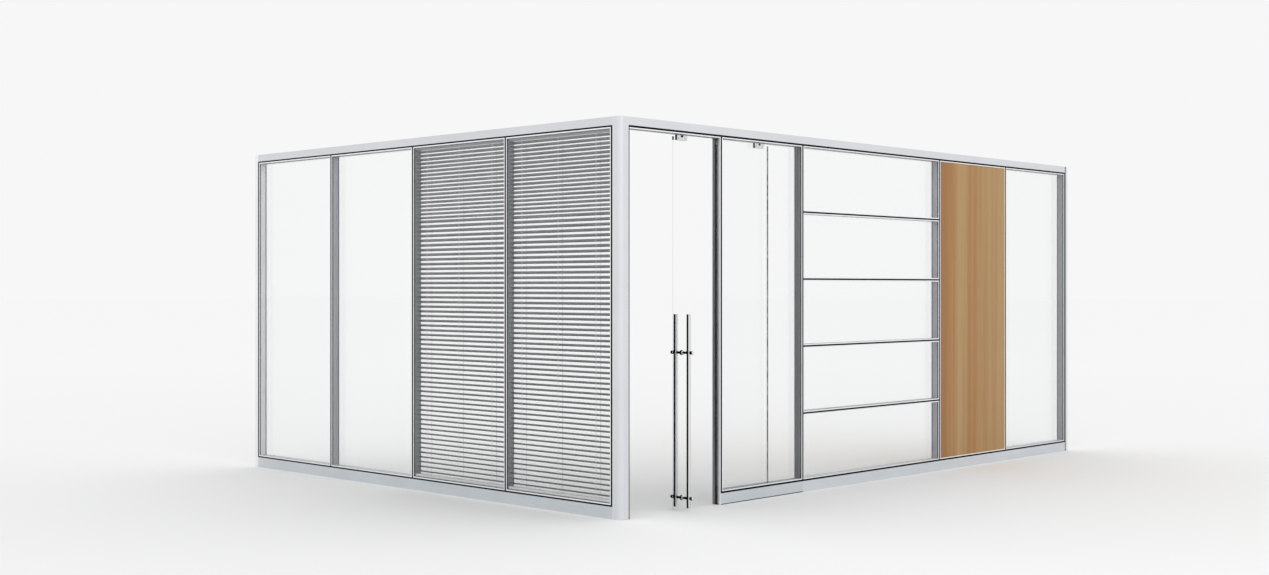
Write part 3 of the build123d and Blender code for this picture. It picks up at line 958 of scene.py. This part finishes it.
def hanger_cover(name, low_x, high_x):
    """Cover of the near side of a clamp, with its panel pushed in."""
    cover = box_piece(
        name,
        (low_x + cover_margin, -clamp_half - cover_proud, clamp_base + cover_margin),
        (high_x - cover_margin, -clamp_half + cover_seat, clamp_top - cover_margin),
    )
    pick_faces(lambda middle, normal: normal.y < -0.9)
    bpy.ops.mesh.inset(thickness=panel_inset)
    bpy.ops.transform.translate(value=(0, panel_depth, 0))
    bpy.ops.object.mode_set(mode="OBJECT")
    soften(cover, cover_edge)
    return cover


def lock_block(name, middle_x):
    """Moulded block over the near cover's upper edge, with a pushed-in thumb field."""
    block = box_piece(
        name,
        (middle_x - lock_width / 2, -clamp_half - cover_proud - lock_proud, clamp_top - lock_height),
        (middle_x + lock_width / 2, -clamp_half, clamp_top - lock_drop),
    )
    pick_faces(lambda middle, normal: normal.y < -0.9)
    bpy.ops.mesh.inset(thickness=panel_inset)
    bpy.ops.transform.translate(value=(0, panel_depth, 0))
    bpy.ops.object.mode_set(mode="OBJECT")
    soften(block, lock_edge)
    return block


screw = turned("button_screw", screw_profile, sides=24)
screw_seat = clamp_half + cover_proud - panel_depth
for name in ("door_hanger_lead", "door_hanger_trail"):
    low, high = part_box(name)
    middle = (low[0] + high[0]) / 2
    near = hanger_cover(name + "_cover", low[0], high[0])
    far = copy_of(near, (2 * middle, 0, 0), (0, 0, pi))
    done(joined([near, far], name + "_covers"), brushed, "leaf")
    near = lock_block(name + "_lock", middle)
    far = copy_of(near, (2 * middle, 0, 0), (0, 0, pi))
    done(joined([near, far], name + "_locks"), rubber, "leaf")
    heads = [
        copy_of(screw, (x, side * screw_seat, clamp_base + screw_drop), (-side * pi / 2, 0, 0))
        for x in (low[0] + screw_inset, high[0] - screw_inset)
        for side in (-1, 1)
    ]
    done(joined(heads, name + "_screws"), polished, "leaf")
bpy.data.objects.remove(screw)

# %% [markdown]
# ## Brush seals and buffer
# The slot of the pocket post is closed by two strips of pile that brush the glass as it goes by. A strip
# is a cube whose tip is narrowed, so that it reads as bristles that lean together. They end below the
# way of the hangers. A small rubber buffer caps the top leading corner of the leaf.

# %% Brush seals and buffer
def brush_pile():
    """Dark bristles in clumps."""
    finish = Finish("brush_pile")
    bristles = finish.noise(finish.place((900, 20, 900)), detail=2)
    clumps = finish.noise(finish.place((60, 20, 90)), detail=3)
    colour = finish.blend(0.5 * bristles + 0.5 * clumps, tone(18, 19, 21), tone(60, 62, 64))
    return finish.close(Base_Color=colour, Roughness=0.95, Normal=finish.bump(bristles, 0.0006))


pile_clear = 0.0008
pile_inset = 0.012
pile_half = 0.005
pile_foot = 0.004
pile_drop = 0.004
pile_taper = 0.45
buffer_overlap = 0.001
buffer_depth = 0.006
buffer_half = 0.0062
buffer_height = 0.026
buffer_rise = 0.002
buffer_edge = 0.0015

pile = brush_pile()
post_low, post_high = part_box("pocket_post_outer")
slot_side = -post_high[1]
pile_reach = glass_half + pile_clear
pile_middle = post_low[0] + pile_inset
pile_top = clamp_base - pile_drop
brushes = []
for side in (-1, 1):
    sides = sorted((side * slot_side, side * pile_reach))
    brush = box_piece(
        "brush",
        (pile_middle - pile_half, sides[0], pile_foot),
        (pile_middle + pile_half, sides[1], pile_top),
    )
    pick_faces(lambda middle, normal: normal.y * side < -0.9)
    bpy.ops.transform.resize(value=(pile_taper, 1, 1), center_override=(pile_middle, 0, 0))
    bpy.ops.object.mode_set(mode="OBJECT")
    brushes.append(brush)
done(joined(brushes, "slot_brushes"), pile, "wall")

leaf_low, leaf_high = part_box("door_glass")
buffer = box_piece(
    "leaf_buffer",
    (leaf_low[0] - buffer_overlap, -buffer_half, leaf_high[2] - buffer_height),
    (leaf_low[0] + buffer_depth, buffer_half, leaf_high[2] + buffer_rise),
)
bpy.ops.object.mode_set(mode="OBJECT")
soften(buffer, buffer_edge, 3)
done(buffer, rubber, "leaf")

# %% [markdown]
# ## Places of the joints
# A shadow joint runs between pane frames, rails and posts. The joints' places are read from the frames'
# boxes: half a joint before each frame, and half a joint after the last one of a wing.

# %% Places of the joints
left_boxes = [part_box(f"left_frame_{n}") for n in range(1, 5)]
right_boxes = [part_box(name) for name in ("pocket_frame", "wide_frames", "panel_frame", "end_frame")]
half_joint = (left_boxes[1][0][1] - left_boxes[0][1][1]) / 2
left_joints = [low[1] - half_joint for low, high in left_boxes] + [left_boxes[-1][1][1] + half_joint]
right_joints = [low[0] - half_joint for low, high in right_boxes] + [right_boxes[-1][1][0] + half_joint]
foot_level = left_boxes[0][0][2] - half_joint
head_level = left_boxes[0][1][2] + half_joint
print(len(left_joints), "joints on the left wing and", len(right_joints), "on the right")

# %% [markdown]
# ## Joint gaskets
# A black gasket closes every joint. Its two lips lie over the edges of the metal, so the line reads wider
# than the gap, and a shallow groove runs between them. Each length is a thin bar whose outer face is inset
# twice and pushed in: once for the lips and once for the groove's walls. The lips stand a hair proud. The
# joints between the stacked panes of the wide bay share its height equally.

# %% Joint gaskets
upright_reach = 0.0084
level_reach = {"left": 0.0064, "right": 0.0078}
transom_reach = 0.0070
lip_proud = 0.0002
groove_half = 0.0038
groove_wall = 0.0004
groove_depth = 0.0004
wall_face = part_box("left_head_rail")[1][0]
wide_panes = 5


def uprights(wing, joints):
    """Outlines of a wing's upright lengths, as start, end, foot and head."""
    foot, head = foot_level + level_reach[wing], head_level - level_reach[wing]
    return [(joint - upright_reach, joint + upright_reach, foot, head) for joint in joints]


def level_run(start, end, level, reach):
    """Outline of a level length between two places."""
    return (start, end, level - reach, level + reach)


def gasket(outline, wing, side):
    """One length of gasket on a face of a wing, with a groove between its lips."""
    start, end, foot, head = outline
    inner, outer = sorted((side * (wall_face - groove_depth), side * (wall_face + lip_proud)))
    outward = (side, 0, 0) if wing == "left" else (0, side, 0)
    if wing == "left":
        length = box_piece("gasket", (inner, start, foot), (outer, end, head))
    else:
        length = box_piece("gasket", (start, inner, foot), (end, outer, head))
    pick_faces(lambda middle, normal: normal.dot(Vector(outward)) > 0.9)
    reach = min(end - start, head - foot) / 2
    bpy.ops.mesh.inset(thickness=reach - groove_half)
    bpy.ops.mesh.inset(thickness=groove_wall)
    bpy.ops.transform.translate(value=[-groove_depth * n for n in outward])
    bpy.ops.object.mode_set(mode="OBJECT")
    return length


left_start, left_end = left_joints[0] - upright_reach, left_joints[-1] + upright_reach
right_start, right_end = right_joints[0] - upright_reach, right_joints[-1] + upright_reach
wide_start, wide_end = right_joints[1] + upright_reach, right_joints[2] - upright_reach
doorway_start = left_joints[0] - half_joint
pane_pitch = (head_level - foot_level) / wide_panes
bar_levels = [foot_level + n * pane_pitch for n in range(1, wide_panes)]
outlines = {
    "left": [
        *uprights("left", left_joints),
        level_run(left_start, left_end, foot_level, level_reach["left"]),
        level_run(left_start, left_end, head_level, level_reach["left"]),
    ],
    "right": [
        *uprights("right", right_joints),
        level_run(right_start, right_end, foot_level, level_reach["right"]),
        level_run(doorway_start, right_end, head_level, level_reach["right"]),
        *(level_run(wide_start, wide_end, level, transom_reach) for level in bar_levels),
    ],
}
for wing, lengths in outlines.items():
    bars = [gasket(outline, wing, side) for outline in lengths for side in (-1, 1)]
    done(joined(bars, wing + "_joint_gaskets"), rubber, "wall")
